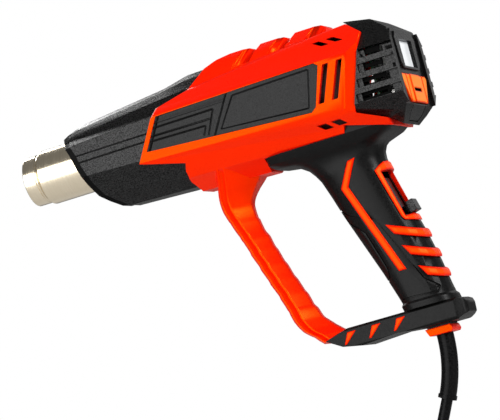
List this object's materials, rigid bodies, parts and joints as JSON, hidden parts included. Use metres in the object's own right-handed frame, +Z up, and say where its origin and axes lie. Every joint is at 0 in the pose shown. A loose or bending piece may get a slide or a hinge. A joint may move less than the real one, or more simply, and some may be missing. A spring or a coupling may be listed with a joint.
{
  "type": "heat gun",
  "caption": "Hand-held hot-air gun with a steel nozzle, closed D-handle, rear display, temperature rocker, slide switch and coiled mains cord.",
  "frame": {"origin": "middle of the grip, where a hand holds the gun", "axes": "+X the way the air blows, along the barrel; +Y to the gun's left; +Z up, with the barrel level"},
  "size_m": [0.2991, 0.0758, 0.4444],
  "materials": {
    "steel": "brushed",
    "motor": "satin",
    "mica": "matte",
    "heating_wire": "satin",
    "brown_plastic": "matte",
    "black_plastic": "fine texture",
    "grey_plastic": "matte",
    "orange_plastic": "satin",
    "trim_orange": "satin",
    "grip_rubber": "soft satin",
    "window": "clear",
    "display": "matte",
    "board": "satin",
    "copper": "satin",
    "cord_rubber": "matte",
    "tie_plastic": "matte"
  },
  "bodies": {
    "body": {"nozzle_tube": "steel", "mica_sleeve": "mica", "heater_cross": "mica", "heater_coil": "heating_wire", "thermal_cutout": "brown_plastic", "nose_shroud": "black_plastic", "housing_left": "orange_plastic", "housing_right": "orange_plastic", "side_panel_left": "grey_plastic", "side_panel_right": "grey_plastic", "air_duct": "grey_plastic", "motor_mount": "black_plastic", "motor": "motor", "rear_cap": "black_plastic", "display_lens": "window", "display_module": "display", "control_board": "board", "key_switches": "grey_plastic", "inlet_screens": "black_plastic", "rocker_pin": "steel", "grip_left": "grip_rubber", "grip_right": "grip_rubber", "stripe_left": "trim_orange", "stripe_right": "trim_orange", "grip_ribs": "trim_orange", "switch_bezel": "trim_orange", "switch_body": "grey_plastic", "guard": "orange_plastic", "base_bar": "black_plastic", "base_inserts": "trim_orange", "cord_clamp": "grey_plastic", "lead_wires": "copper", "cord_root": "cord_rubber", "cord_collar": "orange_plastic", "cord_sleeve": "cord_rubber", "cord_lead": "cord_rubber", "cord_coil": "cord_rubber", "cord_tie": "tie_plastic", "cord_tail": "cord_rubber", "plug_body": "cord_rubber", "plug_pins": "steel", "body_screws": "steel", "grip_screws": "steel", "base_screws": "steel"},
    "slider": {"switch_knob": "black_plastic"},
    "rocker": {"temp_rocker": "trim_orange"},
    "rotor": {"motor_shaft": "steel", "impeller": "black_plastic"}
  },
  "joints": [
    {"name": "switch_slide", "type": "slide", "parent": "body", "child": "slider", "axis": [0.2639, 0, 0.9646], "range_m": [0, 0.016]},
    {"name": "rocker_tilt", "type": "hinge", "parent": "body", "child": "rocker", "pos_m": [-0.031, 0, 0.0794], "axis": [0, 1, 0], "range_deg": [-3, 3], "stiffness_Nm_per_rad": 0.2},
    {"name": "fan_spin", "type": "hinge", "parent": "body", "child": "rotor", "pos_m": [0.02, 0, 0.095], "axis": [1, 0, 0], "continuous": true}
  ]
}
